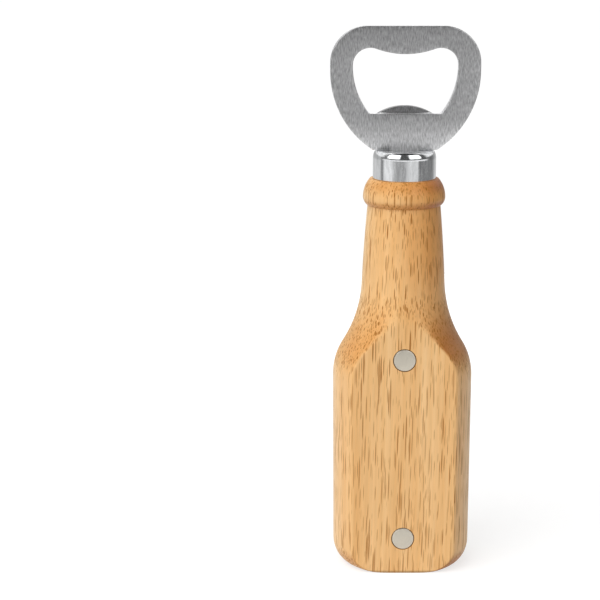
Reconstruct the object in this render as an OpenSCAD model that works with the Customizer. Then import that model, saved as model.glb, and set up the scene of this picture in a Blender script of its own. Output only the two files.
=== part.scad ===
// Souvenir bottle opener: a turned, flat-sided wooden handle in the outline of a
// bottle, a plated ferrule round its neck, a stamped steel opener head whose tang is
// glued down the neck, and two disc magnets glued into the back of the handle.
// The origin is the middle of the base, +Z points up to the head, the plain front
// faces -Y and the magnets face +Y.

/* [Handle] */
// Diameter of the turned body under the shoulder
body_d = 38; // [36:0.25:40]
// Diameter that the body tapers to at its foot
body_foot_d = 37.5; // [36:0.25:38]
// Thickness between the flat front and the flat back
body_t = 25; // [22:0.5:27]
// Diameter of the flat disc that the handle stands on
base_flat_d = 27; // [24:0.5:30]
// Height of the rounding round the base
base_round_h = 6.6; // [4:0.2:8]
// Height at which the body ends and the shoulder begins
shoulder_z = 53.5; // [45:0.1:56.5]
// Radius of the rounded shoulder
shoulder_r = 16.8; // [14:0.1:18]
// Steepest lean of the shoulder, in degrees from the axis
shoulder_lean = 32; // [28:1:34]
// Radius of the hollow sweep from the shoulder into the neck
sweep_r = 34.2; // [30:0.1:36]
// Diameter at the top of the neck, under the bead
neck_top_d = 19.7; // [18:0.1:20.2]

/* [Bead] */
// Largest diameter of the bead round the top of the neck
bead_d = 22.2; // [21.4:0.2:24]
// Height of the bead's widest line
bead_z = 102.6; // [100.6:0.2:104.6]
// Radius of the bead's underside
bead_under_r = 2.8; // [2.4:0.1:3]
// Radius of the bead's upper side
bead_over_r = 7.5; // [6.5:0.5:9]
// Height of the seat that the ferrule stands on
seat_z = 107.5; // [107:0.1:107.9]

/* [Ferrule] */
// Outside diameter of the ferrule
ferrule_d = 17; // [16:0.5:17.5]
// Height of the ferrule
ferrule_h = 7.7; // [6:0.1:9]
// Thickness of the ferrule's metal
ferrule_t = 0.6; // [0.4:0.1:0.8]
// Width of the ferrule's rounded rim
ferrule_rim_w = 1.1; // [0.9:0.1:1.4]
// Height of the ferrule's rounded rim
ferrule_rim_h = 2.3; // [1.6:0.1:2.6]

/* [Opener head] */
// Thickness of the steel plate
plate_t = 2.5; // [2:0.1:3]
// Width of the head
head_w = 40.15; // [39:0.25:42]
// Height of the head above the ferrule
head_h = 33; // [32:0.1:34]
// Radius of the head's two upper corners
head_corner_r = 9.8; // [8:0.2:11]
// Straight stretch of each side, at the head's widest
head_straight = 2.2; // [1:0.2:4]
// Radius of the head's two lower sides
head_side_r = 25; // [24:0.1:25.4]
// Widest half of the opening
opening_half_w = 14.05; // [13:0.25:15]
// Radius of the opening's two upper lobes
lobe_r = 4.65; // [4:0.05:5]
// Height of the lobes' centres above the ferrule
lobe_h = 22.55; // [22:0.1:23.5]
// Radius of the bump that rests on top of the cap
bump_r = 21.6; // [18:0.2:26]
// Height of the bump's lowest point above the ferrule
bump_h = 25.55; // [25:0.1:26.5]
// Radius of the opening's two sides
opening_side_r = 20.5; // [19:0.5:22]
// Height of the opening's straight lower edge above the ferrule
sill_h = 9.7; // [9:0.1:11]
// Radius in the opening's two lower corners
sill_corner_r = 1; // [0.5:0.1:1.5]

/* [Lip] */
// Radius of the curved edge of the lip that hooks under the cap
lip_r = 14.2; // [12:0.2:17]
// Height of the lip above the opening's lower edge
lip_h = 2; // [1.5:0.1:3]
// How far the lip is pushed out of the plate towards the front
lip_push = 1.2; // [0.6:0.1:1.6]
// Rise of the sloping step where the lip leaves the plate
lip_step = 0.4; // [0.3:0.05:1]
// How far the lip's edge leans back from the top of its step
lip_lean = 0.3; // [0:0.05:0.5]

/* [Tang] */
// Width of the tang
tang_w = 8; // [7:0.25:8.25]
// Length of the tang below the head
tang_l = 30; // [20:1:32]
// Depth of each notch that keys the tang into the glue
notch_depth = 1.2; // [0.5:0.1:1.5]
// Height of each notch
notch_h = 2.4; // [1.5:0.1:3]
// Diameter of the bore that holds the tang
bore_d = 9; // [8.8:0.1:10]

/* [Magnets] */
// Diameter of each disc magnet
magnet_d = 6; // [5:0.5:6.5]
// Thickness of each magnet
magnet_t = 3; // [2:0.5:4]
// Chamfer round each magnet's faces
magnet_chamfer = 0.25; // [0.1:0.05:0.3]
// Diameter of the pocket drilled for each magnet
pocket_d = 6.3; // [6.1:0.1:7]
// Thickness of the glue behind each magnet
glue_t = 0.4; // [0.2:0.1:0.8]
// Height of the lower magnet
lower_magnet_z = 9.8; // [8.8:0.1:14]
// Height of the upper magnet
upper_magnet_z = 59.9; // [56:0.1:61]

/* [Hidden] */

$fn = 96;
wood_colour = "#dcab6e";
plate_colour = "#a6a8ab";
chrome_colour = "#d4d8da";
nickel_colour = "#c4bdae";
glue_colour = "#8a6f45";

// Steps in each arc of the turned profile
base_steps = 14;
shoulder_steps = 10;
sweep_steps = 12;
neck_steps = 6;
bead_steps = 8;
rim_steps = 12;

body_r = body_d / 2;
foot_r = body_foot_d / 2;
base_flat_r = base_flat_d / 2;
neck_top_r = neck_top_d / 2;
bead_r = bead_d / 2;
ferrule_r = ferrule_d / 2;
ferrule_top_z = seat_z + ferrule_h;
slot_gap = 0.3;
joint_gap = 0.1;

// Tenon that the ferrule is pressed over
tenon_r = ferrule_r - ferrule_t - joint_gap;
tenon_top_z = ferrule_top_z - ferrule_t - 0.2;
tenon_round = 1.6;
tenon_c = [tenon_r - tenon_round, tenon_top_z - tenon_round];
tang_bottom_z = ferrule_top_z - tang_l;
bore_bottom_z = tang_bottom_z - 1;

// Centres and ends of the arcs that make the bottle's outline
shoulder_c = [body_r - shoulder_r, shoulder_z];
shoulder_end = arc_point(shoulder_c, shoulder_r, shoulder_lean);
sweep_c = shoulder_end + sweep_r * [cos(shoulder_lean), sin(shoulder_lean)];
sweep_end_lean = 2.5;
sweep_end = arc_point(sweep_c, sweep_r, 180 + sweep_end_lean);
bead_under_c = [bead_r - bead_under_r, bead_z];
bead_over_c = [bead_r - bead_over_r, bead_z];
crease_angle = -acos((neck_top_r - bead_under_c[0]) / bead_under_r);
crease = arc_point(bead_under_c, bead_under_r, crease_angle);
seat_angle = asin((seat_z - bead_z) / bead_over_r);

// The neck swells a little, on one arc that leaves the sweep without a corner
neck_drop = sweep_end[0] - crease[0];
neck_rise = crease[1] - sweep_end[1];
neck_end_lean = 2 * atan(neck_drop / neck_rise) - sweep_end_lean;
neck_r = neck_rise / (sin(neck_end_lean) - sin(sweep_end_lean));
neck_c = sweep_end - neck_r * [cos(sweep_end_lean), sin(sweep_end_lean)];

// Point on an arc
function arc_point(c, r, a) = c + r * [cos(a), sin(a)];

// Points along an arc, without its first one, where the stretch before it ends
function arc(c, r, from, to, steps) =
    [for (i = [1:steps]) arc_point(c, r, from + (to - from) * i / steps)];

// Rounding of the base, a quarter of an ellipse from the flat disc to the foot of the body
function base_rounding() =
    [for (i = [0:base_steps])
        let (a = 90 * i / base_steps)
        [base_flat_r + (foot_r - base_flat_r) * sin(a), base_round_h * (1 - cos(a))]];

function handle_profile() = concat(
    [[0, 0]],
    base_rounding(),
    [[body_r, shoulder_z]],
    arc(shoulder_c, shoulder_r, 0, shoulder_lean, shoulder_steps),
    arc(sweep_c, sweep_r, 180 + shoulder_lean, 180 + sweep_end_lean, sweep_steps),
    arc(neck_c, neck_r, sweep_end_lean, neck_end_lean, neck_steps),
    arc(bead_under_c, bead_under_r, crease_angle, 0, bead_steps),
    arc(bead_over_c, bead_over_r, 0, seat_angle, bead_steps),
    [[tenon_r, seat_z], [tenon_r, tenon_c[1]]],
    arc(tenon_c, tenon_round, 0, 90, bead_steps),
    [[0, tenon_top_z]]);

// A blind pocket or anything else that goes into the back, drawn along +Z
module from_back(z) {
    translate([0, body_t / 2, z])
        rotate([90, 0, 0])
            children();
}

module handle() {
    color(wood_colour)
        difference() {
            intersection() {
                rotate_extrude()
                    polygon(handle_profile());
                translate([-body_d, -body_t / 2, -1])
                    cube([2 * body_d, body_t, ferrule_top_z + 2]);
            }
            translate([0, 0, bore_bottom_z])
                cylinder(d = bore_d, h = ferrule_top_z - bore_bottom_z);
            for (z = [lower_magnet_z, upper_magnet_z])
                from_back(z)
                    translate([0, 0, -1])
                        cylinder(d = pocket_d, h = magnet_t + glue_t + 1);
        }
}

// Rounded rim, a quarter of an ellipse from the wall up to the closed end
function rim_rounding(r, w, h, top_z) =
    [for (i = [0:rim_steps])
        let (a = 90 * i / rim_steps)
        [r - w + w * cos(a), top_z - h + h * sin(a)]];

// Half section of a round-topped plug, from bottom_z up to top_z
module cup_half(r, w, h, bottom_z, top_z) {
    polygon(concat(
        [[0, bottom_z], [r, bottom_z]],
        rim_rounding(r, w, h, top_z),
        [[0, top_z]]));
}

// Drawn cup with its closed end up, slotted for the tang
module ferrule() {
    inner_r = ferrule_r - ferrule_t;
    inner_rim_w = ferrule_rim_w - ferrule_t;
    inner_rim_h = ferrule_rim_h - ferrule_t;
    color(chrome_colour)
        difference() {
            rotate_extrude() {
                difference() {
                    cup_half(ferrule_r, ferrule_rim_w, ferrule_rim_h, seat_z, ferrule_top_z);
                    cup_half(inner_r, inner_rim_w, inner_rim_h, seat_z - 1, ferrule_top_z - ferrule_t);
                }
            }
            translate([0, 0, ferrule_top_z])
                cube([tang_w + slot_gap, plate_t + slot_gap, 4 * ferrule_t], center = true);
        }
}

// Outline of the head: two rounded upper corners over two long lower sides
module head_outline() {
    half_w = head_w / 2;
    corner_x = half_w - head_corner_r;
    corner_h = head_h - head_corner_r;
    side_h = corner_h - head_straight;
    translate([-corner_x, corner_h])
        square([2 * corner_x, head_corner_r]);
    translate([-half_w, side_h])
        square([head_w, corner_h - side_h]);
    for (side = [-1, 1])
        translate([side * corner_x, corner_h])
            circle(head_corner_r);
    intersection() {
        translate([head_side_r - half_w, side_h])
            circle(head_side_r);
        translate([half_w - head_side_r, side_h])
            circle(head_side_r);
        translate([-half_w, 0])
            square([head_w, side_h]);
    }
}

// Half of the straight lower edge, out to the centre of the corner rounding
function sill_corner() =
    let (reach = opening_side_r - sill_corner_r)
    let (drop = lobe_h - sill_h - sill_corner_r)
    [opening_half_w - opening_side_r + sqrt(reach * reach - drop * drop),
        sill_h + sill_corner_r];

// Angle at which the corner rounding runs into the side of the opening
function sill_corner_lean() =
    asin((lobe_h - sill_h - sill_corner_r) / (opening_side_r - sill_corner_r));

// Opening that takes the cap
module opening_outline() {
    side_x = opening_half_w - opening_side_r;
    lobe_x = opening_half_w - lobe_r;
    corner = sill_corner();
    lean = sill_corner_lean();
    rounding_end = arc_point(corner, sill_corner_r, -lean);
    difference() {
        union() {
            for (side = [-1, 1])
                translate([side * lobe_x, lobe_h])
                    circle(lobe_r);
            translate([-lobe_x, lobe_h])
                square([2 * lobe_x, lobe_r]);
            intersection() {
                translate([side_x, lobe_h])
                    circle(opening_side_r);
                translate([-side_x, lobe_h])
                    circle(opening_side_r);
                translate([-opening_half_w, rounding_end[1]])
                    square([2 * opening_half_w, lobe_h - rounding_end[1]]);
            }
            polygon([
                [-rounding_end[0], rounding_end[1]],
                [-corner[0], sill_h],
                [corner[0], sill_h],
                [rounding_end[0], rounding_end[1]]]);
            for (side = [-1, 1])
                translate([side * corner[0], corner[1]])
                    circle(sill_corner_r);
        }
        translate([0, bump_h + bump_r])
            circle(bump_r);
    }
}

// Tang with a pair of notches near its lower end
module tang_outline() {
    overlap = 1;
    notch_rise = 5;
    difference() {
        translate([-tang_w / 2, -tang_l])
            square([tang_w, tang_l + overlap]);
        for (side = [-1, 1])
            for (row = [1, 2])
                translate([side * tang_w / 2, row * notch_rise - tang_l])
                    square([2 * notch_depth, notch_h], center = true);
    }
}

// Side section of the lip, y across and z up, stepped out of the plate to the front
module lip_section() {
    half_t = plate_t / 2;
    root_h = 2;
    top_h = sill_h + lip_h + 1;
    lean = lip_lean * (top_h - sill_h - lip_step) / (lip_h - lip_step);
    polygon([
        [half_t, sill_h - root_h],
        [half_t, sill_h],
        [half_t - lip_push, sill_h + lip_step],
        [half_t - lip_push - lean, top_h],
        [-half_t - lip_push - lean, top_h],
        [-half_t - lip_push, sill_h - lip_step / 2],
        [-half_t, sill_h - lip_step / 2 - lip_step],
        [-half_t, sill_h - root_h]]);
}

// Lip, cut to its curved edge
module lip() {
    intersection() {
        rotate([90, 0, 90])
            linear_extrude(head_w, center = true)
                lip_section();
        translate([0, 0, sill_h + lip_h - lip_r])
            rotate([90, 0, 0])
                cylinder(r = lip_r, h = 4 * plate_t, center = true);
        translate([-head_w / 4, -2 * plate_t, sill_h - 1.8])
            cube([head_w / 2, 4 * plate_t, 2 * lip_h + 2]);
    }
}

module opener_head() {
    color(plate_colour)
        translate([0, 0, ferrule_top_z])
            union() {
                rotate([90, 0, 0])
                    linear_extrude(plate_t, center = true)
                        difference() {
                            union() {
                                head_outline();
                                tang_outline();
                            }
                            opening_outline();
                        }
                lip();
            }
}

// Glue that fills the bore round the tang
module tang_adhesive() {
    color(glue_colour)
        difference() {
            translate([0, 0, bore_bottom_z])
                cylinder(d = bore_d, h = tenon_top_z - bore_bottom_z);
            translate([0, 0, ferrule_top_z])
                rotate([90, 0, 0])
                    linear_extrude(plate_t, center = true)
                        tang_outline();
        }
}

// Magnet with its outer face flush with the back of the handle
module magnet(z) {
    r = magnet_d / 2;
    color(nickel_colour)
        from_back(z)
            rotate_extrude()
                polygon([
                    [0, 0],
                    [r - magnet_chamfer, 0],
                    [r, magnet_chamfer],
                    [r, magnet_t - magnet_chamfer],
                    [r - magnet_chamfer, magnet_t],
                    [0, magnet_t]]);
}

// Bed of glue between a magnet and the floor of its pocket
module magnet_adhesive(z) {
    color(glue_colour)
        from_back(z)
            translate([0, 0, magnet_t])
                cylinder(d = pocket_d, h = glue_t);
}

module upper_magnet() {
    magnet(upper_magnet_z);
}

module lower_magnet() {
    magnet(lower_magnet_z);
}

module upper_magnet_adhesive() {
    magnet_adhesive(upper_magnet_z);
}

module lower_magnet_adhesive() {
    magnet_adhesive(lower_magnet_z);
}

handle();
ferrule();
opener_head();
tang_adhesive();
upper_magnet();
lower_magnet();
upper_magnet_adhesive();
lower_magnet_adhesive();
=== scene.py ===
import math

import bmesh
import bpy
from mathutils import Matrix, Vector


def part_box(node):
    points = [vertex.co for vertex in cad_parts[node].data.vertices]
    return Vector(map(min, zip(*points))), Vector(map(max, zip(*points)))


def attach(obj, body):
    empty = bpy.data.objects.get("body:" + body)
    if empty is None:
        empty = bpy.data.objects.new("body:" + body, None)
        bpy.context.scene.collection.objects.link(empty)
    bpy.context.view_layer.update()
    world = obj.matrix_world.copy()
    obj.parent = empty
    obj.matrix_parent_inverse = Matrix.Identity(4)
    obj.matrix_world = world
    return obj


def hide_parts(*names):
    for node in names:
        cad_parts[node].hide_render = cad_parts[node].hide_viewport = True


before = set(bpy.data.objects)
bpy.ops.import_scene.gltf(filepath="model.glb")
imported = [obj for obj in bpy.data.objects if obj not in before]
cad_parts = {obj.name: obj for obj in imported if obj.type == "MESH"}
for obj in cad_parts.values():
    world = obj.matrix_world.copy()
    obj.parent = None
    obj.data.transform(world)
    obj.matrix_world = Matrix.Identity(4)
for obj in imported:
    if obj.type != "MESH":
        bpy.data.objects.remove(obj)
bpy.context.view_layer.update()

mm = 0.001

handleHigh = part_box("handle")[1]
ferruleLow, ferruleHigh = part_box("ferrule")
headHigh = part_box("opener_head")[1]


# camera, on the side of the magnets and a little to the left of the opener
cameraSetup = {
    "lens": 113.2,
    "sensor": 36.0,
    "sideways": 28.1 * mm,
    "distance": 504.4 * mm,
    "height": 179.3 * mm,
    "lookDown": 11.8,
}


def placeCamera(setup):
    data = bpy.data.cameras.new("studioCamera")
    data.lens = setup["lens"]
    data.sensor_width = setup["sensor"]
    data.clip_start = 0.01
    camera = bpy.data.objects.new("studioCamera", data)
    camera.location = (setup["sideways"], setup["distance"], setup["height"])
    camera.rotation_euler = (math.radians(90 - setup["lookDown"]), 0, math.pi)
    bpy.context.scene.collection.objects.link(camera)
    bpy.context.scene.camera = camera


placeCamera(cameraSetup)
print("camera placed")


# small helpers for meshes

def arcPoints(centre, radius, start, end, steps):
    # points along an arc in a plane, both ends included, angles in degrees
    points = []
    for i in range(steps + 1):
        angle = math.radians(start + (end - start) * i / steps)
        points.append((centre[0] + radius * math.cos(angle), centre[1] + radius * math.sin(angle)))
    return points


def wire(bm, points, closed=False):
    verts = [bm.verts.new(p) for p in points]
    pairs = list(zip(verts, verts[1:]))
    if closed:
        pairs.append((verts[-1], verts[0]))
    return verts, [bm.edges.new(p) for p in pairs]


def spinProfile(points, turns):
    # turns a half section, given as (radius, height) in millimetres, about the Z axis
    bm = bmesh.new()
    verts, edges = wire(bm, [(r * mm, 0, z * mm) for r, z in points])
    bmesh.ops.spin(bm, geom=verts + edges, cent=(0, 0, 0), axis=(0, 0, 1),
                   angle=2 * math.pi, steps=turns, use_merge=True)
    bmesh.ops.remove_doubles(bm, verts=bm.verts, dist=1e-7)
    bmesh.ops.recalc_face_normals(bm, faces=bm.faces)
    return bm


def shadeSmooth(bm, crease):
    # edges sharper than the crease angle stay sharp, everything else shades smooth
    for face in bm.faces:
        face.smooth = True
    for edge in bm.edges:
        sharp = len(edge.link_faces) == 2 and edge.calc_face_angle() > math.radians(crease)
        edge.smooth = not sharp


def addPiece(name, bm, crease=35):
    shadeSmooth(bm, crease)
    mesh = bpy.data.meshes.new(name)
    bm.to_mesh(mesh)
    bm.free()
    piece = bpy.data.objects.new(name, mesh)
    bpy.context.scene.collection.objects.link(piece)
    return piece


def combine(piece, bm, operation, crease=35):
    # cuts a tool shape out of the piece, or joins it on
    tool = addPiece("tool", bm)
    modifier = piece.modifiers.new("combine", "BOOLEAN")
    modifier.object = tool
    modifier.operation = operation
    modifier.solver = "EXACT"
    graph = bpy.context.evaluated_depsgraph_get()
    result = bpy.data.meshes.new_from_object(piece.evaluated_get(graph))
    piece.modifiers.clear()
    shaped = bmesh.new()
    shaped.from_mesh(result)
    bmesh.ops.remove_doubles(shaped, verts=shaped.verts, dist=1e-7)
    shadeSmooth(shaped, crease)
    shaped.to_mesh(piece.data)
    shaped.free()
    bpy.data.meshes.remove(result)
    bpy.data.objects.remove(tool)


# small helpers for materials

def addNode(tree, kind, inputs=None, **settings):
    node = tree.nodes.new(kind)
    for name, value in settings.items():
        setattr(node, name, value)
    for name, value in (inputs or {}).items():
        if isinstance(value, bpy.types.NodeSocket):
            tree.links.new(value, node.inputs[name])
        else:
            node.inputs[name].default_value = value
    return node


def maths(tree, operation, a, b=0.0, clamp=False):
    return addNode(tree, "ShaderNodeMath", {0: a, 1: b}, operation=operation, use_clamp=clamp).outputs[0]


def remap(tree, value, fromLow, fromHigh, toLow, toHigh, smooth=False):
    kind = "SMOOTHSTEP" if smooth else "LINEAR"
    inputs = {"Value": value, "From Min": fromLow, "From Max": fromHigh, "To Min": toLow, "To Max": toHigh}
    return addNode(tree, "ShaderNodeMapRange", inputs, interpolation_type=kind).outputs["Result"]


def mixColour(tree, factor, a, b, blend="MIX"):
    node = addNode(tree, "ShaderNodeMix", data_type="RGBA", blend_type=blend)
    for index, value in ((0, factor), (6, a), (7, b)):
        if isinstance(value, bpy.types.NodeSocket):
            tree.links.new(value, node.inputs[index])
        elif index == 0:
            node.inputs[index].default_value = value
        else:
            node.inputs[index].default_value = (*value, 1)
    return node.outputs[2]


def newMaterial(name):
    material = bpy.data.materials.new(name)
    material.use_nodes = True
    tree = material.node_tree
    shader = tree.nodes["Principled BSDF"]
    place = addNode(tree, "ShaderNodeTexCoord")
    return material, tree, shader, place


def newGroup(name, inputs, outputs):
    tree = bpy.data.node_groups.new(name, "ShaderNodeTree")
    for label, kind, value in inputs:
        socket = tree.interface.new_socket(label, in_out="INPUT", socket_type="NodeSocket" + kind)
        if value is not None:
            socket.default_value = value
    for label, kind in outputs:
        tree.interface.new_socket(label, in_out="OUTPUT", socket_type="NodeSocket" + kind)
    start = tree.nodes.new("NodeGroupInput")
    end = tree.nodes.new("NodeGroupOutput")
    return tree, start.outputs, end.inputs


def useGroup(tree, group, inputs):
    node = tree.nodes.new("ShaderNodeGroup")
    node.node_tree = group
    for name, value in inputs.items():
        if isinstance(value, bpy.types.NodeSocket):
            tree.links.new(value, node.inputs[name])
        else:
            node.inputs[name].default_value = value
    return node.outputs


# effects that several materials share

def stretched(tree, place, across, along):
    # object coordinates scaled so that a pattern runs along the Z axis
    scale = addNode(tree, "ShaderNodeCombineXYZ", {"X": across, "Y": across, "Z": along}).outputs[0]
    return addNode(tree, "ShaderNodeVectorMath", {0: place, 1: scale}, operation="MULTIPLY").outputs[0]


def makeStreaks():
    # soft lengthwise streaks: wood fibres, brushing lines, drawing marks
    tree, given, made = newGroup("lengthwiseStreaks", (
        ("Place", "Vector", None), ("Across", "Float", 1000.0), ("Along", "Float", 50.0),
        ("Detail", "Float", 2.0)), (("Streaks", "Float"),))
    noise = addNode(tree, "ShaderNodeTexNoise", {
        "Vector": stretched(tree, given["Place"], given["Across"], given["Along"]),
        "Scale": 1.0, "Detail": given["Detail"], "Roughness": 0.6})
    tree.links.new(noise.outputs[0], made["Streaks"])
    return tree


def makePores():
    # short open vessels, one in each stretched cell, of uneven length and depth
    tree, given, made = newGroup("openPores", (
        ("Place", "Vector", None), ("Across", "Float", 1000.0), ("Along", "Float", 100.0),
        ("Size", "Float", 0.2), ("Share", "Float", 0.8)), (("Pores", "Float"),))
    cells = addNode(tree, "ShaderNodeTexVoronoi", {
        "Vector": stretched(tree, given["Place"], given["Across"], given["Along"]), "Scale": 1.0})
    chance = addNode(tree, "ShaderNodeSeparateColor", {"Color": cells.outputs["Color"]}).outputs
    size = maths(tree, "MULTIPLY", given["Size"], remap(tree, chance["Red"], 0, 1, 0.6, 1.2))
    core = maths(tree, "MULTIPLY", size, 0.7)
    inside = remap(tree, cells.outputs["Distance"], core, size, 1, 0, smooth=True)
    depth = remap(tree, chance["Green"], 0, 1, 0.35, 1)
    kept = maths(tree, "LESS_THAN", chance["Blue"], given["Share"])
    pores = maths(tree, "MULTIPLY", maths(tree, "MULTIPLY", inside, depth), kept)
    tree.links.new(pores, made["Pores"])
    return tree


def makeHandling():
    # faint smudges and hairline scratches from use
    tree, given, made = newGroup("handlingMarks", (
        ("Place", "Vector", None), ("Smudge Size", "Float", 120.0), ("Scratch Size", "Float", 900.0)),
        (("Smudges", "Float"), ("Scratches", "Float")))
    smudge = addNode(tree, "ShaderNodeTexNoise", {
        "Vector": given["Place"], "Scale": given["Smudge Size"], "Detail": 3.0})
    bend = addNode(tree, "ShaderNodeTexNoise", {"Vector": given["Place"], "Scale": 60.0, "Detail": 1.0})
    bent = addNode(tree, "ShaderNodeVectorMath", {
        0: bend.outputs["Color"], 1: (0.02, 0.02, 0.02), 2: given["Place"]}, operation="MULTIPLY_ADD")
    lines = addNode(tree, "ShaderNodeTexVoronoi", {
        "Vector": bent.outputs[0], "Scale": given["Scratch Size"]}, feature="DISTANCE_TO_EDGE")
    tree.links.new(remap(tree, smudge.outputs[0], 0.4, 0.7, 0, 1, smooth=True), made["Smudges"])
    tree.links.new(remap(tree, lines.outputs["Distance"], 0, 0.02, 1, 0), made["Scratches"])
    return tree


streaks = makeStreaks()
pores = makePores()
handling = makeHandling()


# materials

woodLook = {
    "warm": (0.87, 0.535, 0.235),      # ground colour at the back
    "pale": (0.90, 0.69, 0.39),        # ground colour at the front
    "pore": (0.34, 0.125, 0.012),
    "bandDark": (0.95, 0.88, 0.78),
    "bandLight": (1.03, 1.04, 1.06),
    "lineDark": (0.97, 0.93, 0.86),
    "lineLight": (1.02, 1.04, 1.08),
    "cutAcross": (0.84, 0.70, 0.50),   # tint where the lathe cut across the grain
    # painted shade: the cross-cut tint on the right, shaded side, much darker than the plain cross-cut tint
    "cutTintAndRightShade": (0.53, 0.33, 0.13),
    "neckShade": (0.88, 0.68, 0.44),       # painted shade: darker on the right, shaded side of the neck
    "paintedFootShade": 0.45,                  # painted shade along the edge it stands on
    "wander": 1.3 * mm,
    "lean": 0.02,
    "bandsAcross": 190.0,
    "linesAcross": 750.0,
    "fibresAcross": 2600.0,
    "fibreTone": (0.93, 1.05),
    "neckShadeAcross": (5 * mm, -8 * mm),      # from nothing to full, sideways and up the neck
    "neckShadeUp": (60 * mm, 90 * mm),
    "rightShadeAcross": (-2 * mm, -11 * mm),
    "footHeight": (0.15 * mm, 0.9 * mm),
    "roughness": 0.46,
    "poreRoughness": 0.3,
    "bump": 0.2,
    "bumpDepth": 0.05 * mm,
    "coat": 0.12,
    "coatRoughness": 0.3,
    "crossCutPores": {"Across": 1500.0, "Along": 420.0, "Size": 0.38},
    "crossCutShare": 0.8,
    "poreSizes": (                     # across and along, per metre, then size, depth, share
        (1800.0, 75.0, 0.37, 1.0, 1.0),
        (2200.0, 110.0, 0.36, 0.9, 0.6),
        (2500.0, 190.0, 0.34, 0.6, 0.5),
    ),
}


def makeWood(look):
    material, tree, shader, place = newMaterial("lacqueredWood")
    here = place.outputs["Object"]
    thickness = handleHigh.y

    # the grain wanders a little and leans a little off the axis
    drift = addNode(tree, "ShaderNodeTexNoise", {
        "Vector": stretched(tree, here, 55.0, 12.0), "Scale": 1.0, "Detail": 1.0})
    centred = addNode(tree, "ShaderNodeVectorMath", {
        0: drift.outputs["Color"], 1: (0.5, 0.5, 0.5)}, operation="SUBTRACT").outputs[0]
    wander = look["wander"]
    shifted = addNode(tree, "ShaderNodeVectorMath", {
        0: centred, 1: (wander, wander, 0), 2: here}, operation="MULTIPLY_ADD").outputs[0]
    axes = addNode(tree, "ShaderNodeSeparateXYZ", {0: shifted}).outputs
    leaning = maths(tree, "ADD", axes["X"], maths(tree, "MULTIPLY", axes["Z"], look["lean"]))
    grain = addNode(tree, "ShaderNodeCombineXYZ", {"X": leaning, "Y": axes["Y"], "Z": axes["Z"]}).outputs[0]

    # tone: pale front to warm back, broad growth bands and fine fibres
    across = remap(tree, axes["Y"], -thickness, thickness, 0, 1, smooth=True)
    ground = mixColour(tree, across, look["pale"], look["warm"])
    bands = useGroup(tree, streaks, {
        "Place": grain, "Across": look["bandsAcross"], "Along": 9.0, "Detail": 2.0})[0]
    bandTone = remap(tree, bands, 0.3, 0.7, 0.0, 1.0)
    banded = mixColour(tree, bandTone, look["bandDark"], look["bandLight"])
    fibres = useGroup(tree, streaks, {
        "Place": grain, "Across": look["fibresAcross"], "Along": 90.0, "Detail": 3.0})[0]
    fibreTone = remap(tree, fibres, 0.3, 0.7, *look["fibreTone"])
    grainLines = useGroup(tree, streaks, {
        "Place": grain, "Across": look["linesAcross"], "Along": 16.0, "Detail": 2.0})[0]
    lined = mixColour(tree, remap(tree, grainLines, 0.35, 0.65, 0, 1), look["lineDark"], look["lineLight"])
    banded = mixColour(tree, 1.0, banded, lined, "MULTIPLY")
    toned = mixColour(tree, 1.0, ground, banded, "MULTIPLY")
    fibred = mixColour(tree, 1.0, toned, fibreTone, "MULTIPLY")
    # painted shade: the right side of the neck, away from the key light, darkened towards the top
    sideways = remap(tree, axes["X"], *look["neckShadeAcross"], 0.1, 1, smooth=True)
    upwards = remap(tree, axes["Z"], *look["neckShadeUp"], 0, 1, smooth=True)
    neckShade = mixColour(tree, maths(tree, "MULTIPLY", sideways, upwards), (1, 1, 1), look["neckShade"])
    neckShaded = mixColour(tree, 1.0, fibred, neckShade, "MULTIPLY")

    # pores in three sizes, fewer of them towards the pale front, and dots where they are cut across
    share = remap(tree, across, 0, 1, 0.3, 0.95)
    turned = addNode(tree, "ShaderNodeSeparateXYZ", {0: place.outputs["Normal"]}).outputs["Z"]
    crossCut = remap(tree, maths(tree, "ABSOLUTE", turned), 0.06, 0.5, 0, 1, smooth=True)
    allPores = useGroup(tree, pores, {
        "Place": grain, **look["crossCutPores"],
        "Share": maths(tree, "MULTIPLY", crossCut, look["crossCutShare"])})[0]
    for acrossGrain, alongGrain, size, depth, portion in look["poreSizes"]:
        layer = useGroup(tree, pores, {"Place": grain, "Across": acrossGrain, "Along": alongGrain,
                                       "Size": size, "Share": maths(tree, "MULTIPLY", share, portion)})[0]
        allPores = maths(tree, "MAXIMUM", maths(tree, "MULTIPLY", layer, depth), allPores)

    # where the lathe cut across the grain the wood drinks more lacquer and darkens; towards the right,
    # shaded side this tint turns much darker, which is painted shade
    rightShadeSide = remap(tree, axes["X"], *look["rightShadeAcross"], 0, 1, smooth=True)
    cutTintAndShade = mixColour(tree, rightShadeSide, look["cutAcross"], look["cutTintAndRightShade"])
    crossCutTintAndShade = mixColour(tree, crossCut, (1, 1, 1), cutTintAndShade)
    tinted = mixColour(tree, 1.0, neckShaded, crossCutTintAndShade, "MULTIPLY")
    # painted shade: darker along the bottom edge where it meets the floor
    footShaded = remap(tree, axes["Z"], *look["footHeight"], look["paintedFootShade"], 1, smooth=True)
    grounded = mixColour(tree, 1.0, tinted, footShaded, "MULTIPLY")
    colour = mixColour(tree, allPores, grounded, look["pore"])
    tree.links.new(colour, shader.inputs["Base Color"])

    roughness = look["roughness"]
    rough = maths(tree, "ADD", remap(tree, fibres, 0.3, 0.7, roughness - 0.05, roughness + 0.06),
                  maths(tree, "MULTIPLY", allPores, look["poreRoughness"]), clamp=True)
    tree.links.new(rough, shader.inputs["Roughness"])
    height = maths(tree, "SUBTRACT", maths(tree, "MULTIPLY", fibres, 0.25), allPores)
    bump = addNode(tree, "ShaderNodeBump", {
        "Height": height, "Strength": look["bump"], "Distance": look["bumpDepth"]})
    tree.links.new(bump.outputs[0], shader.inputs["Normal"])
    shader.inputs["Coat Weight"].default_value = look["coat"]
    shader.inputs["Coat Roughness"].default_value = look["coatRoughness"]
    return material


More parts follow.
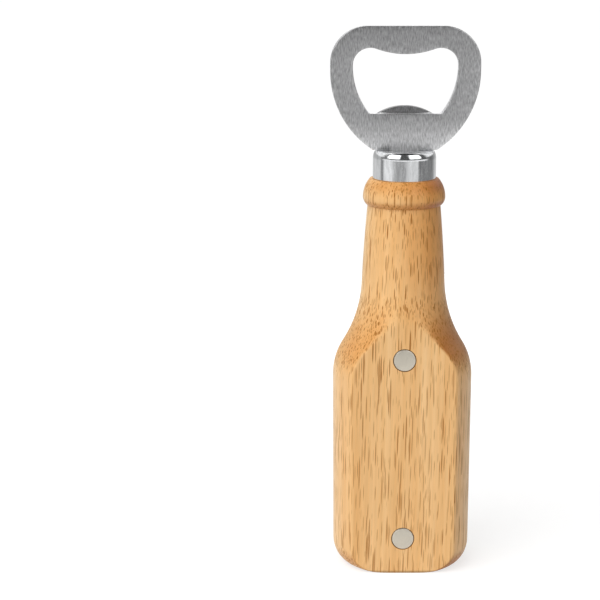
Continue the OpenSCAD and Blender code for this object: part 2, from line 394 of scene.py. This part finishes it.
def makeMetal(name, look, paintedLight=None):
    # brushed or drawn metal: lengthwise streaks, smudges and hairline scratches
    material, tree, shader, place = newMaterial(name)
    here = place.outputs["Object"]
    lines = useGroup(tree, streaks, {
        "Place": here, "Across": look["across"], "Along": look["along"], "Detail": 3.0})[0]
    marks = useGroup(tree, handling, {
        "Place": here, "Smudge Size": look["smudgeSize"], "Scratch Size": look["scratchSize"]})
    toneRange = look["streakTone"]
    tone = remap(tree, lines, 0.3, 0.7, 1 - toneRange, 1 + toneRange)
    # optional painted light and shade, multiplied into the tone
    if paintedLight:
        tone = maths(tree, "MULTIPLY", tone, paintedLight(tree, here, look))
    colour = mixColour(tree, 1.0, look["colour"], tone, "MULTIPLY")
    dulled = mixColour(tree, maths(tree, "MULTIPLY", marks["Smudges"], look["smudge"]), colour,
                       tuple(0.8 * c for c in look["colour"]))
    tree.links.new(dulled, shader.inputs["Base Color"])
    roughLow, roughHigh = look["roughness"]
    rough = maths(tree, "ADD", remap(tree, lines, 0.3, 0.7, roughLow, roughHigh),
                  maths(tree, "MULTIPLY", marks["Smudges"], look["smudge"] * 0.3), clamp=True)
    tree.links.new(rough, shader.inputs["Roughness"])
    height = maths(tree, "ADD", lines, maths(tree, "MULTIPLY", marks["Scratches"], -look["scratch"]))
    bump = addNode(tree, "ShaderNodeBump", {
        "Height": height, "Strength": look["bump"], "Distance": 0.02 * mm})
    tree.links.new(bump.outputs[0], shader.inputs["Normal"])
    shader.inputs["Metallic"].default_value = 1.0
    return material


def platePaintedLight(tree, here, look):
    # given tones, all painted light: brighter at the foot as a painted reflection, darker at the crown as
    # painted shade, the pressed lip set apart with painted shade on its face and a painted highlight on its
    # step, and the edge walls lighter as a painted highlight
    axes = addNode(tree, "ShaderNodeSeparateXYZ", {0: here}).outputs
    rise = ferruleHigh.z
    footLow, footHigh = look["footHeight"]
    crownLow, crownHigh = look["crownHeight"]
    foot = remap(tree, axes["Z"], rise + footLow, rise + footHigh, look["foot"], 1, smooth=True)
    crown = remap(tree, axes["Z"], rise + crownLow, rise + crownHigh, 1, look["crown"], smooth=True)
    sill = rise + look["sill"]
    above = remap(tree, axes["Z"], sill - 0.1 * mm, sill + 0.05 * mm, 0, 1)
    below = remap(tree, axes["Z"], sill + 2.4 * mm, sill + 2.6 * mm, 1, 0)
    inward = remap(tree, maths(tree, "ABSOLUTE", axes["X"]), *look["lipHalf"], 1, 0)
    lip = maths(tree, "MULTIPLY", maths(tree, "MULTIPLY", above, below), inward)
    # painted shade on the lip's pushed face, painted highlight on its step
    lipTone = remap(tree, axes["Y"], 0.1 * mm, 0.25 * mm, look["lip"], look["step"])
    lipTone = remap(tree, axes["Y"], 1.15 * mm, 1.24 * mm, lipTone, 1)
    pressed = addNode(tree, "ShaderNodeMath", {0: lip, 1: maths(tree, "SUBTRACT", lipTone, 1.0), 2: 1},
                      operation="MULTIPLY_ADD").outputs[0]
    belted = maths(tree, "MULTIPLY", maths(tree, "MULTIPLY", foot, crown), pressed)
    # painted highlight: the rounded edge walls lighter, except on the lip
    side = remap(tree, maths(tree, "ABSOLUTE", axes["Y"]), 0.9 * mm, 1.05 * mm, look["wall"], 1)
    side = remap(tree, lip, 0, 1, side, 1)
    return maths(tree, "MULTIPLY", belted, side)


# foot, crown, lip, step and wall are tones of painted light and shade on the plate
plateLook = {
    "colour": (0.405, 0.405, 0.41), "across": 4000.0, "along": 700.0, "streakTone": 0.42,
    "roughness": (0.3, 0.4), "smudgeSize": 90.0, "smudge": 0.12, "scratchSize": 260.0,
    "scratch": 0.3, "bump": 0.35, "foot": 1.5, "footHeight": (1 * mm, 9 * mm), "crown": 0.86,
    "crownHeight": (20 * mm, 33 * mm), "sill": 9.7 * mm, "lip": 0.6, "lipHalf": (7.6 * mm, 8 * mm),
    "step": 2.2, "wall": 2.0,
}
ferruleLook = {
    "colour": (0.74, 0.75, 0.76), "across": 1500.0, "along": 330.0, "streakTone": 0.12,
    "roughness": (0.05, 0.14), "smudgeSize": 260.0, "smudge": 0.15, "scratchSize": 500.0,
    "scratch": 0.2, "bump": 0.2,
}
magnetLook = {
    "colour": (0.565, 0.525, 0.445), "across": 1400.0, "along": 500.0, "streakTone": 0.04,
    "roughness": (0.36, 0.46), "smudgeSize": 300.0, "smudge": 0.2, "scratchSize": 600.0,
    "scratch": 0.4, "bump": 0.2,
}
glueLook = {"colour": (0.36, 0.22, 0.08), "cloud": (0.5, 0.36, 0.18), "roughness": (0.15, 0.35)}


def makeGlue(look):
    material, tree, shader, place = newMaterial("curedGlue")
    cloud = addNode(tree, "ShaderNodeTexNoise", {
        "Vector": place.outputs["Object"], "Scale": 500.0, "Detail": 3.0}).outputs[0]
    mix = remap(tree, cloud, 0.35, 0.65, 0, 1, smooth=True)
    tree.links.new(mixColour(tree, mix, look["colour"], look["cloud"]), shader.inputs["Base Color"])
    tree.links.new(remap(tree, cloud, 0.3, 0.7, *look["roughness"]), shader.inputs["Roughness"])
    bump = addNode(tree, "ShaderNodeBump", {"Height": cloud, "Strength": 0.3, "Distance": 0.1 * mm})
    tree.links.new(bump.outputs[0], shader.inputs["Normal"])
    return material


woodMaterial = makeWood(woodLook)
plateMaterial = makeMetal("brushedPlate", plateLook, platePaintedLight)
ferruleMaterial = makeMetal("brightPlating", ferruleLook)
magnetMaterial = makeMetal("satinNickel", magnetLook)
glueMaterial = makeGlue(glueLook)
print("materials made")


def finishPiece(piece, node, material):
    piece.data.materials.append(material)
    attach(piece, "root")
    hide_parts(node)


# handle: turned blank, planed flat front and back, edges sanded

handleShape = {
    "discRadius": 13.5,
    "footRadius": 18.75,
    "footRise": 6.6,
    "shoulderHeight": 53.5,
    "shoulderRadius": 16.8,
    "shoulderLean": 32,
    "sweepRadius": 34.2,
    "sweepEndLean": 2.5,
    "neckTopRadius": 9.85,
    "beadRadius": 11.1,
    "beadHeight": 102.6,
    "beadUnder": 2.8,
    "beadOver": 7.5,
    "tenonRadius": 7.8,
    "tenonChamfer": 1.6,
    "sanding": 0.6,          # half the height of the sanded edge, across the flat
    "turns": 144,
    "pocketRadius": 3.15,
    "pocketDepth": 3.4,
}


def handleProfile(shape):
    bodyRadius = handleHigh.x / mm
    seat = ferruleLow.z / mm
    top = handleHigh.z / mm
    points = [(0, 0)]
    disc = shape["discRadius"]
    for r, z in arcPoints((0, 0), 1, -90, 0, 18):
        points.append((disc + (shape["footRadius"] - disc) * r, shape["footRise"] * (1 + z)))
    lean = shape["shoulderLean"]
    shoulder = (bodyRadius - shape["shoulderRadius"], shape["shoulderHeight"])
    rounded = arcPoints(shoulder, shape["shoulderRadius"], 0, lean, 14)
    sweepRadius = shape["sweepRadius"]
    sweepCentre = (rounded[-1][0] + sweepRadius * math.cos(math.radians(lean)),
                   rounded[-1][1] + sweepRadius * math.sin(math.radians(lean)))
    endLean = shape["sweepEndLean"]
    swept = arcPoints(sweepCentre, sweepRadius, 180 + lean, 180 + endLean, 16)

    # the bead, and the crease where the neck runs in under it
    under = (shape["beadRadius"] - shape["beadUnder"], shape["beadHeight"])
    over = (shape["beadRadius"] - shape["beadOver"], shape["beadHeight"])
    creaseAngle = -math.degrees(math.acos((shape["neckTopRadius"] - under[0]) / shape["beadUnder"]))
    seatAngle = math.degrees(math.asin((seat - over[1]) / shape["beadOver"]))
    beadUnder = arcPoints(under, shape["beadUnder"], creaseAngle, 0, 10)
    beadOver = arcPoints(over, shape["beadOver"], 0, seatAngle, 10)

    # the neck leaves the sweep without a corner and ends at the crease
    drop = swept[-1][0] - beadUnder[0][0]
    rise = beadUnder[0][1] - swept[-1][1]
    neckLean = 2 * math.degrees(math.atan(drop / rise)) - endLean
    neckRadius = rise / (math.sin(math.radians(neckLean)) - math.sin(math.radians(endLean)))
    neckCentre = (swept[-1][0] - neckRadius * math.cos(math.radians(endLean)),
                  swept[-1][1] - neckRadius * math.sin(math.radians(endLean)))
    neck = arcPoints(neckCentre, neckRadius, endLean, neckLean, 8)
    points += rounded + swept[1:] + neck[1:] + beadUnder[1:] + beadOver[1:]
    tenon, chamfer = shape["tenonRadius"], shape["tenonChamfer"]
    points += [(tenon, seat), (tenon, top - chamfer), (tenon - chamfer, top), (0, top)]
    return points


def planeFlats(bm, flat, sanding):
    # edge loops follow the coming arris, then everything past the flat is planed off
    for side in (-1, 1):
        for step in (-1, -0.6, -0.25, 0, 0.3, 0.65, 1):
            bmesh.ops.bisect_plane(bm, geom=bm.verts[:] + bm.edges[:] + bm.faces[:], dist=1e-7,
                                   plane_co=(0, side * (flat + step * sanding), 0), plane_no=(0, 1, 0))
    for vert in bm.verts:
        reach = abs(vert.co.y)
        if reach <= flat - sanding:
            continue
        over = min(reach - (flat - sanding), 2 * sanding)
        planed = min(reach, flat + sanding) - over * over / (4 * sanding)
        vert.co.y = math.copysign(planed, vert.co.y)


def makeHandle(shape):
    bm = spinProfile(handleProfile(shape), shape["turns"])
    planeFlats(bm, handleHigh.y, shape["sanding"] * mm)
    bmesh.ops.remove_doubles(bm, verts=bm.verts, dist=1e-6)
    handle = addPiece("woodenHandle", bm)
    for node in ("upper_magnet", "lower_magnet"):
        low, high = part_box(node)
        depth = shape["pocketDepth"] * mm
        drill = bmesh.new()
        turned = Matrix.Rotation(math.pi / 2, 4, "X")
        middle = Matrix.Translation((0, handleHigh.y, (low.z + high.z) / 2))
        bmesh.ops.create_cone(drill, cap_ends=True, segments=72, radius1=shape["pocketRadius"] * mm,
                              radius2=shape["pocketRadius"] * mm, depth=2 * depth, matrix=middle @ turned)
        combine(handle, drill, "DIFFERENCE")
    return handle


handlePiece = makeHandle(handleShape)
finishPiece(handlePiece, "handle", woodMaterial)
print("handle made:", len(handlePiece.data.polygons), "faces")


# ferrule: drawn cup with a rounded rim and a slot for the tang

ferruleShape = {
    "metal": 0.6,
    "rimWidth": 1.1,
    "rimHeight": 2.3,
    "foot": 0.12,
    "turns": 160,
    "slotLength": 8.3,
    "slotWidth": 2.8,
}


def makeFerrule(shape):
    radius = ferruleHigh.x / mm
    low = ferruleLow.z / mm
    top = ferruleHigh.z / mm
    metal, foot = shape["metal"], shape["foot"]
    wide, tall = shape["rimWidth"], shape["rimHeight"]
    inner = radius - metal
    # loops close to each bend keep the long wall shading straight
    points = [(0, top), (radius - wide - 0.3, top)]
    for x, z in arcPoints((0, 0), 1, 90, 0, 28):
        points.append((radius - wide + wide * x, top - tall + tall * z))
    points += [(radius, top - tall - 0.1), (radius, low + foot + 0.1)]
    points += arcPoints((radius - foot, low + foot), foot, 0, -90, 3)
    points += [(inner, low), (inner, top - tall)]
    for x, z in arcPoints((0, 0), 1, 0, 90, 8)[1:]:
        points.append((radius - wide + (wide - metal) * x, top - tall + (tall - metal) * z))
    points += [(0, top - metal)]
    ferrule = addPiece("drawnFerrule", spinProfile(points, shape["turns"]))
    slot = bmesh.new()
    size = Matrix.Diagonal((shape["slotLength"] * mm, shape["slotWidth"] * mm, 4 * metal * mm, 1))
    bmesh.ops.create_cube(slot, size=1, matrix=Matrix.Translation((0, 0, top * mm)) @ size)
    combine(ferrule, slot, "DIFFERENCE")
    return ferrule


ferrulePiece = makeFerrule(ferruleShape)
finishPiece(ferrulePiece, "ferrule", ferruleMaterial)
print("ferrule made:", len(ferrulePiece.data.polygons), "faces")


# opener head: one stamping, its edges tumbled round, its lip pushed out

headShape = {
    "thickness": 2.5,
    "cornerRadius": 9.8,
    "sideRadius": 25.0,
    "straight": 2.2,
    "openingHalf": 14.05,
    "lobeRadius": 4.65,
    "lobeHeight": 22.55,
    "bumpHeight": 25.55,
    "openingSide": 20.5,
    "sill": 9.7,
    "sillCorner": 1.0,
    "tangHalf": 4.0,
    "tangLength": 30.0,
    "notch": 1.2,
    "notchHeight": 2.4,
    "edgeRound": 0.35,
    "crownWidth": 1.8,       # the tumbled faces fall away a little towards each edge
    "crownDrop": 0.09,
    "lipRadius": 14.2,
    "lipHeight": 2.0,
    "lipPush": 1.2,
    "lipStep": 0.4,
    "lipLean": 0.3,
    "lipBlankWidth": 20,     # the blank is cut to the lip's arc afterwards
    "lipBlankRise": 4,
    "lipRound": 0.3,
    "notchPitch": 5,
}


def headOutline(shape, inset):
    # right half of the outer edge, from the end of the tang up to the top
    half = headHigh.x / mm
    height = (headHigh.z - ferruleHigh.z) / mm
    corner = shape["cornerRadius"]
    cornerHeight = height - corner
    sideHeight = cornerHeight - shape["straight"]
    side = shape["sideRadius"]
    tangInset = min(inset, shape["edgeRound"])
    tang = shape["tangHalf"] - tangInset
    neck = tang - shape["notch"]
    bottom = -shape["tangLength"] + tangInset
    points = [(0, bottom), (tang, bottom)]
    for row in (1, 2):
        middle = row * shape["notchPitch"] - shape["tangLength"]
        reach = shape["notchHeight"] / 2 + tangInset
        points += [(tang, middle - reach), (neck, middle - reach),
                   (neck, middle + reach), (tang, middle + reach)]
    points.append((tang, inset))
    start = -math.degrees(math.asin((sideHeight - inset) / (side - inset)))
    points += arcPoints((half - side, sideHeight), side - inset, start, 0, 36)
    points += arcPoints((half - corner, cornerHeight), corner - inset, 0, 90, 28)
    points.append((0, height - inset))
    return points


def openingOutline(shape, inset):
    # right half of the opening, from the middle of the sill up to the bump
    half = shape["openingHalf"]
    side = shape["openingSide"]
    lobe = shape["lobeRadius"]
    lobeAt = (half - lobe, shape["lobeHeight"])
    small = shape["sillCorner"]
    sill = shape["sill"]
    drop = shape["lobeHeight"] - sill - small
    lean = math.degrees(math.asin(drop / (side - small)))
    cornerAt = (half - side + (side - small) * math.cos(math.radians(lean)), sill + small)

    # the bump's circle just touches the lobe's, so one runs into the other
    fall = shape["bumpHeight"] - shape["lobeHeight"]
    bump = (lobeAt[0] ** 2 + fall ** 2 - lobe ** 2) / (2 * (lobe - fall))
    bumpAt = (0, shape["bumpHeight"] + bump)
    meet = math.degrees(math.atan2(bumpAt[1] - lobeAt[1], -lobeAt[0]))
    points = [(0, sill - inset)]
    points += arcPoints(cornerAt, small + inset, -90, -lean, 8)
    points += arcPoints((half - side, lobeAt[1]), side + inset, -lean, 0, 28)[1:]
    points += arcPoints(lobeAt, lobe + inset, 0, meet, 24)[1:]
    points += arcPoints(bumpAt, bump - inset, meet - 180, -90, 16)[1:]
    return points


def mirrored(half):
    # whole closed outline from its right half, whose first and last points are on the axis
    return half + [(-x, z) for x, z in reversed(half[1:-1])]


def plateLayers(shape):
    # (inset, depth) from the middle of the near face, round the edge, to the far face
    thick = shape["thickness"] / 2
    rounding = shape["edgeRound"]
    layers = []
    for step in range(5):
        share = 1 - step / 4
        layers.append((rounding + shape["crownWidth"] * share,
                       thick - shape["crownDrop"] * (1 - share) ** 2))
    face = thick - shape["crownDrop"]
    for x, y in arcPoints((0, 0), rounding, 90, 0, 5)[1:]:
        layers.append((rounding - x, face - rounding + y))
    return layers + [(inset, -depth) for inset, depth in reversed(layers)]


def makeLip(shape):
    base = ferruleHigh.z / mm
    thick = shape["thickness"] / 2
    sill = shape["sill"]
    push = shape["lipPush"]
    step = shape["lipStep"]
    inside = thick - 0.4
    rise = shape["lipBlankRise"]
    pushedTop = push + shape["lipLean"] * (rise - step) / (shape["lipHeight"] - step)
    section = [(inside, sill - 2), (inside, sill), (thick - push, sill + step),
               (thick - pushedTop, sill + rise), (-thick - pushedTop, sill + rise),
               (-thick - push, sill - step / 2),
               (-inside, sill - step * 1.5 - 0.3), (-inside, sill - 2)]
    bm = bmesh.new()
    width = shape["lipBlankWidth"]
    verts, edges = wire(bm, [(-width / 2 * mm, y * mm, (base + z) * mm) for y, z in section], closed=True)
    face = bm.faces.new(verts)
    swept = bmesh.ops.extrude_face_region(bm, geom=[face])
    moved = [g for g in swept["geom"] if isinstance(g, bmesh.types.BMVert)]
    bmesh.ops.translate(bm, verts=moved, vec=(width * mm, 0, 0))
    bmesh.ops.recalc_face_normals(bm, faces=bm.faces)
    lip = addPiece("lip", bm)

    # its edge is an arc, rounded over on both faces
    radius = shape["lipRadius"]
    centre = Vector((0, 0, (base + sill + shape["lipHeight"] - radius) * mm))
    disc = bmesh.new()
    turned = Matrix.Translation(centre) @ Matrix.Rotation(math.pi / 2, 4, "X")
    bmesh.ops.create_cone(disc, cap_ends=True, segments=240, radius1=radius * mm, radius2=radius * mm,
                          depth=12 * mm, matrix=turned)
    combine(lip, disc, "INTERSECT")
    bm = bmesh.new()
    bm.from_mesh(lip.data)
    bpy.data.objects.remove(lip)
    rims = []
    for edge in bm.edges:
        ends = [v.co - centre for v in edge.verts]
        onArc = all(abs(math.hypot(e.x, e.z) - radius * mm) < 0.02 * mm for e in ends)
        level = abs(ends[0].y - ends[1].y) < 0.001 * mm
        above = all(v.co.z > (base + sill) * mm for v in edge.verts)
        if onArc and level and above and edge.calc_face_angle(0) > 1:
            rims.append(edge)
    bmesh.ops.bevel(bm, geom=rims, affect="EDGES", offset=shape["lipRound"] * mm, segments=3,
                    profile=0.5, material=-1)
    return bm


def makeHead(shape):
    base = ferruleHigh.z / mm
    bm = bmesh.new()
    last = []
    ends = []
    for inset, depth in plateLayers(shape):
        rings = []
        for outline in (headOutline(shape, inset), openingOutline(shape, inset)):
            points = [(x * mm, depth * mm, (base + z) * mm) for x, z in mirrored(outline)]
            rings.append(wire(bm, points, closed=True)[1])
        for before, after in zip(last, rings):
            bmesh.ops.bridge_loops(bm, edges=before + after)
        if not last:
            ends.append(rings)
        last = rings
    ends.append(last)
    for rings in ends:
        bmesh.ops.triangle_fill(bm, edges=rings[0] + rings[1], use_beauty=True)
    bmesh.ops.recalc_face_normals(bm, faces=bm.faces)
    head = addPiece("openerHead", bm)
    combine(head, makeLip(shape), "UNION")
    return head


headPiece = makeHead(headShape)
finishPiece(headPiece, "opener_head", plateMaterial)
print("opener head made:", len(headPiece.data.polygons), "faces")


# magnets: plated discs with a broken edge

magnetShape = {"chamfer": 0.25, "turns": 72}


def makeMagnet(node, name, shape):
    low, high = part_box(node)
    thick = high.y - low.y
    radius = (high.x - low.x) / 2
    bm = bmesh.new()
    centre = Matrix.Translation((low + high) / 2)
    turned = Matrix.Rotation(math.pi / 2, 4, "X")
    bmesh.ops.create_cone(bm, cap_ends=True, segments=shape["turns"], radius1=radius, radius2=radius,
                          depth=thick, matrix=centre @ turned)
    rims = [e for e in bm.edges if e.calc_face_angle(0) > 1]
    bmesh.ops.bevel(bm, geom=rims, affect="EDGES", offset=shape["chamfer"] * mm, segments=3,
                    profile=0.5, material=-1)
    bmesh.ops.recalc_face_normals(bm, faces=bm.faces)
    return addPiece(name, bm, crease=50)


for nodeName, pieceName in (("upper_magnet", "upperMagnetDisc"), ("lower_magnet", "lowerMagnetDisc")):
    finishPiece(makeMagnet(nodeName, pieceName, magnetShape), nodeName, magnetMaterial)
print("magnets made")


# glue: the modelled solids stay and get their material

for nodeName in ("tang_adhesive", "upper_magnet_adhesive", "lower_magnet_adhesive"):
    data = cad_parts[nodeName].data
    data.materials.clear()
    data.materials.append(glueMaterial)


# floor, studio surroundings and lights

floorLook = {"radius": 0.42, "colour": 0.4, "bounce": 0.26, "mirrored": 0.7, "glow": 0.69, "rimGlow": 0.85}


def makeFloor(look):
    bm = bmesh.new()
    bmesh.ops.create_circle(bm, cap_ends=True, segments=96, radius=look["radius"])
    floor = addPiece("studioFloor", bm)
    material, tree, shader, place = newMaterial("paleFloor")
    reach = addNode(tree, "ShaderNodeVectorMath", {0: place.outputs["Object"]}, operation="LENGTH")
    glow = remap(tree, reach.outputs["Value"], 0.1, look["radius"] * 0.8, look["glow"], look["rimGlow"],
                 smooth=True)
    fleck = addNode(tree, "ShaderNodeTexNoise", {
        "Vector": place.outputs["Object"], "Scale": 180.0, "Detail": 2.0}).outputs[0]
    level = look["colour"]
    tone = remap(tree, fleck, 0.3, 0.7, level - 0.01, level + 0.01)
    tree.links.new(tone, shader.inputs["Base Color"])
    path = addNode(tree, "ShaderNodeLightPath")
    bounced = mixColour(tree, path.outputs["Is Glossy Ray"], (look["bounce"],) * 3, (look["mirrored"],) * 3)
    strength = mixColour(tree, path.outputs["Is Camera Ray"], bounced, glow)
    tree.links.new(strength, shader.inputs["Emission Strength"])
    shader.inputs["Emission Color"].default_value = (1, 1, 1, 1)
    shader.inputs["Roughness"].default_value = 0.9
    floor.data.materials.append(material)


# what the metal mirrors: degrees to the left of the camera, then brightness at and below the horizon
studioRing = (
    (-180, 0.74), (-140, 0.7), (-120, 0.27), (-52, 0.26), (-46, 0.85), (-8, 0.8), (0, 0.45), (24, 0.45),
    (40, 0.55), (50, 1.0), (80, 1.0), (90, 0.28), (94, 0.28), (102, 0.74), (180, 0.74),
)
studioLook = {
    "seen": 1.02,
    "ceiling": 0.03,
    "above": 0.1,
    "low": 1.7,
    "rim": 1.1,              # thin bright line along the horizon
    "behind": 1.1,
    "frontEnds": (75, 100),  # all of these from and to, in degrees round or up
    "rimHeight": (-3.8, 3.5),
    "rimSoft": 0.8,
    "aboveStarts": (3, 5),
    "behindStarts": (8, 16),
    "ceilingStarts": (62, 70),
    "boxes": (               # from, to, foot, top, brightness
        (20, 69, 12, 52, 2.6),
        (-61, -16, 12, 52, 2.3),
        (105, 175, 35, 66, 2.2),
    ),
    "lightLeft": 0.55,
    "lightRight": 0.1,
    "lightBehind": 0.35,
}


def ease(tree, angle, start, end, fromLevel=0, toLevel=1):
    # angle in radians, start and end in degrees
    return remap(tree, angle, math.radians(start), math.radians(end), fromLevel, toLevel, smooth=True)


def between(tree, angle, low, high, soft):
    rise = ease(tree, angle, low - soft, low + soft)
    fall = ease(tree, angle, high - soft, high + soft, 1, 0)
    return maths(tree, "MULTIPLY", rise, fall)


def makeStudio(ring, look):
    world = bpy.data.worlds.new("studio")
    bpy.context.scene.world = world
    world.use_nodes = True
    world.cycles.sampling_method = "NONE"
    tree = world.node_tree
    tree.nodes.clear()
    direction = addNode(tree, "ShaderNodeTexCoord").outputs["Generated"]
    axes = addNode(tree, "ShaderNodeSeparateXYZ", {0: direction}).outputs
    turn = maths(tree, "ARCTAN2", axes["X"], axes["Y"])
    up = maths(tree, "ARCSINE", axes["Z"])

    # level round the horizon, brighter towards the floor and dark above
    share = remap(tree, turn, -math.pi, math.pi, 0, 1)
    ramp = addNode(tree, "ShaderNodeValToRGB", {0: share})
    stops = ramp.color_ramp.elements
    for index, (degrees, level) in enumerate(ring):
        at = (degrees + 180) / 360
        stop = stops[index] if index < 2 else stops.new(at)
        stop.position = at
        stop.color = (level, level, level, 1)
    fall = remap(tree, up, math.radians(-25), math.radians(-2), look["low"], 0.7)
    level = maths(tree, "MULTIPLY", ramp.outputs[0], fall)
    front = ease(tree, maths(tree, "ABSOLUTE", turn), *look["frontEnds"], 1, 0)
    rim = between(tree, up, *look["rimHeight"], look["rimSoft"])
    level = mixColour(tree, maths(tree, "MULTIPLY", rim, front), level, (look["rim"],) * 3)
    lifted = ease(tree, up, *look["aboveStarts"])
    level = mixColour(tree, maths(tree, "MULTIPLY", lifted, front), level, (look["above"],) * 3)
    behind = maths(tree, "MULTIPLY", maths(tree, "SUBTRACT", 1.0, front),
                   ease(tree, up, *look["behindStarts"]))
    level = mixColour(tree, behind, level, (look["behind"],) * 3)
    for start, end, foot, top, brightness in look["boxes"]:
        wide = between(tree, turn, start, end, 4)
        tall = between(tree, up, foot, top, 3)
        level = mixColour(tree, maths(tree, "MULTIPLY", wide, tall), level, (brightness,) * 3)
    cap = ease(tree, up, *look["ceilingStarts"])
    level = mixColour(tree, cap, level, (look["ceiling"],) * 3)
    mirrored = addNode(tree, "ShaderNodeBackground", {"Color": level})

    # what lights the wood: soft, from the left
    side = remap(tree, axes["X"], -0.6, 0.9, look["lightRight"], look["lightLeft"], smooth=True)
    backLight = remap(tree, axes["Y"], -0.2, -0.9, 0, look["lightBehind"], smooth=True)
    soft = addNode(tree, "ShaderNodeBackground", {"Color": maths(tree, "ADD", side, backLight)})
    seen = addNode(tree, "ShaderNodeBackground", {"Color": (1, 1, 1, 1), "Strength": look["seen"]})
    path = addNode(tree, "ShaderNodeLightPath")
    lit = addNode(tree, "ShaderNodeMixShader", {
        0: path.outputs["Is Glossy Ray"], 1: soft.outputs[0], 2: mirrored.outputs[0]})
    both = addNode(tree, "ShaderNodeMixShader", {
        0: path.outputs["Is Camera Ray"], 1: lit.outputs[0], 2: seen.outputs[0]})
    addNode(tree, "ShaderNodeOutputWorld", {0: both.outputs[0]})


# softboxes: degrees to the left of the camera and up, distance and size in metres
softboxes = {
    "keySoftbox": {"left": 37, "up": 45, "away": 3.0, "size": (2.4, 3.2), "watts": 76},
    "fillSoftbox": {"left": -38, "up": 40, "away": 3.0, "size": (2.0, 2.2), "watts": 13},
}


def makeLights(boxes):
    for name, box in boxes.items():
        data = bpy.data.lights.new(name, "AREA")
        data.shape = "RECTANGLE"
        data.size, data.size_y = box["size"]
        data.energy = box["watts"]
        light = bpy.data.objects.new(name, data)
        left, up = math.radians(box["left"]), math.radians(box["up"])
        towards = Vector((math.sin(left) * math.cos(up), math.cos(left) * math.cos(up), math.sin(up)))
        light.location = towards * box["away"]
        light.rotation_euler = towards.to_track_quat("Z", "Y").to_euler()
        light.visible_camera = False
        light.visible_glossy = False      # the metal mirrors the studio surroundings instead
        bpy.context.scene.collection.objects.link(light)


makeFloor(floorLook)
makeStudio(studioRing, studioLook)
makeLights(softboxes)
bpy.context.scene.view_settings.view_transform = "Standard"
print("studio made")
